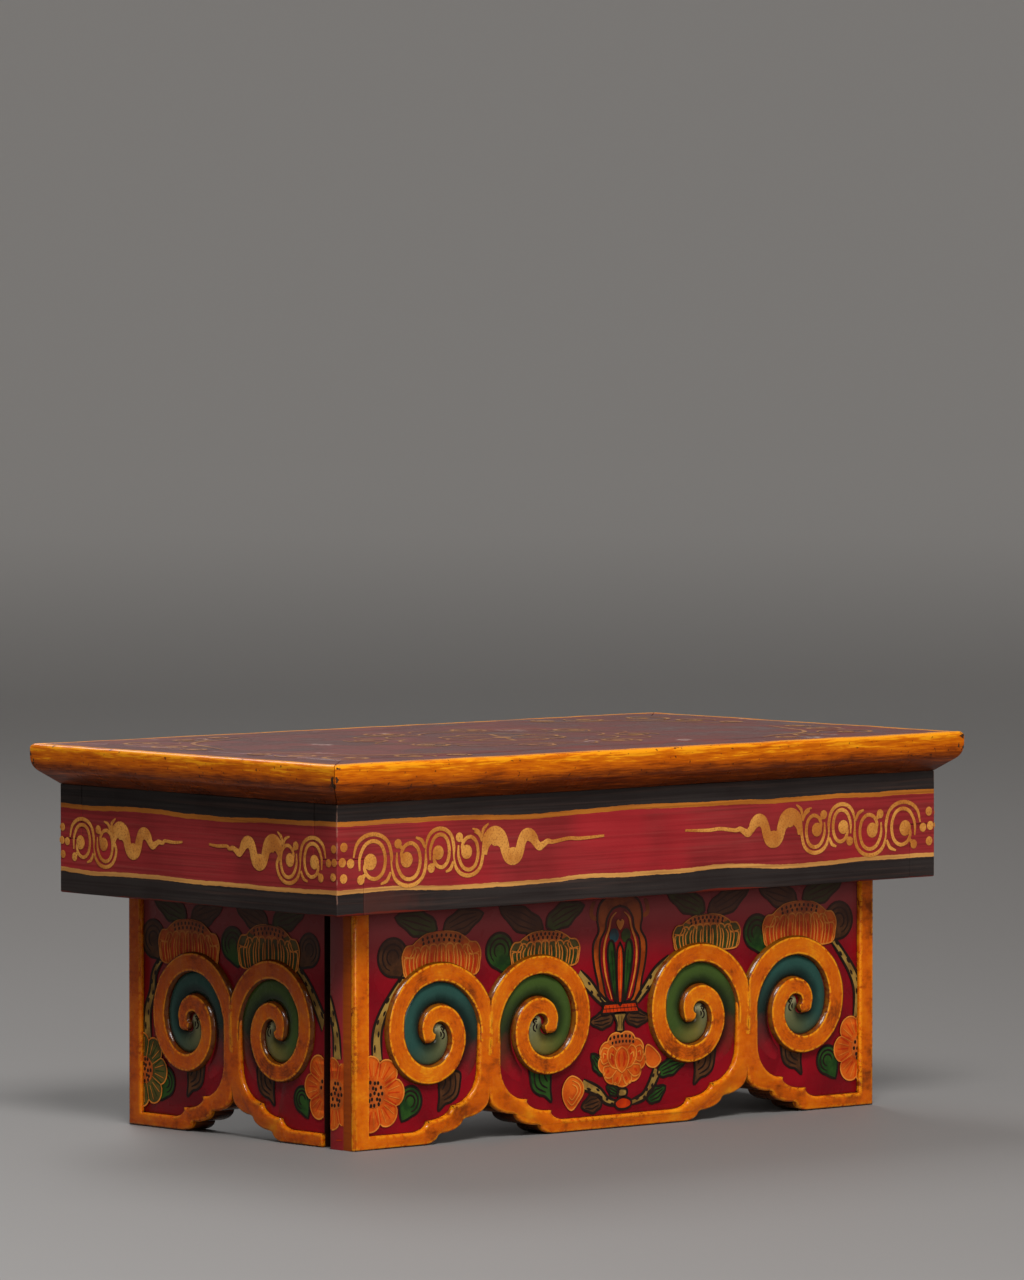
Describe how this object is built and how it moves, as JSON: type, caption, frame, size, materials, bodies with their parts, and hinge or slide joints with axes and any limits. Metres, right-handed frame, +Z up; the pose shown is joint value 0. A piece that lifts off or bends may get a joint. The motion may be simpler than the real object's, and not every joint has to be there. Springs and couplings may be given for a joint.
{
  "type": "folding altar table",
  "caption": "Low painted altar table with a moulded top, a deep apron box and carved scroll leg panels on hinges that fold inwards beneath the top.",
  "frame": {"origin": "middle of the table's footprint, on the floor", "axes": "+Z up, +X along the table's length to its right, the carved front faces -Y"},
  "size_m": [0.42, 0.234, 0.19],
  "materials": {
    "plum_top_paint": "varnished plum paint with faint gold drawing",
    "orange_edge_paint": "glossy orange paint, worn at the arrises",
    "apron_paint": "black and red bands with gold lines, satin varnish",
    "carved_panel_paint": "orange carving on a red ground, satin varnish",
    "bare_wood": "plain sawn softwood",
    "hinge_steel": "dull plated steel"
  },
  "bodies": {
    "table": {"top_board": "plum_top_paint", "moulding_front": "orange_edge_paint", "moulding_back": "orange_edge_paint", "moulding_left": "orange_edge_paint", "moulding_right": "orange_edge_paint", "rail_front": "apron_paint", "rail_back": "apron_paint", "rail_left": "apron_paint", "rail_right": "apron_paint", "batten_front": "bare_wood", "batten_left": "bare_wood", "batten_right": "bare_wood", "front_fixed_leaf_a": "hinge_steel", "front_fixed_leaf_b": "hinge_steel", "front_pin_a": "hinge_steel", "front_pin_b": "hinge_steel", "left_fixed_leaf_a": "hinge_steel", "left_fixed_leaf_b": "hinge_steel", "left_pin_a": "hinge_steel", "left_pin_b": "hinge_steel", "right_fixed_leaf_a": "hinge_steel", "right_fixed_leaf_b": "hinge_steel", "right_pin_a": "hinge_steel", "right_pin_b": "hinge_steel", "batten_screws": "hinge_steel", "fixed_leaf_screws": "hinge_steel"},
    "front_leg": {"panel_front": "carved_panel_paint", "front_panel_leaf_a": "hinge_steel", "front_panel_leaf_b": "hinge_steel", "front_leaf_screws": "hinge_steel"},
    "left_leg": {"panel_left": "carved_panel_paint", "left_panel_leaf_a": "hinge_steel", "left_panel_leaf_b": "hinge_steel", "left_leaf_screws": "hinge_steel"},
    "right_leg": {"panel_right": "carved_panel_paint", "right_panel_leaf_a": "hinge_steel", "right_panel_leaf_b": "hinge_steel", "right_leaf_screws": "hinge_steel"}
  },
  "joints": [
    {"name": "left_fold", "type": "hinge", "parent": "table", "child": "left_leg", "pos_m": [-0.1542, 0.0119, 0.1525], "axis": [0, -1, 0], "range_deg": [0, 90]},
    {"name": "right_fold", "type": "hinge", "parent": "table", "child": "right_leg", "pos_m": [0.1542, 0.0119, 0.1525], "axis": [0, 1, 0], "range_deg": [0, 90]},
    {"name": "front_fold", "type": "hinge", "parent": "table", "child": "front_leg", "pos_m": [0, -0.0674, 0.136], "axis": [1, 0, 0], "range_deg": [0, 3]}
  ]
}
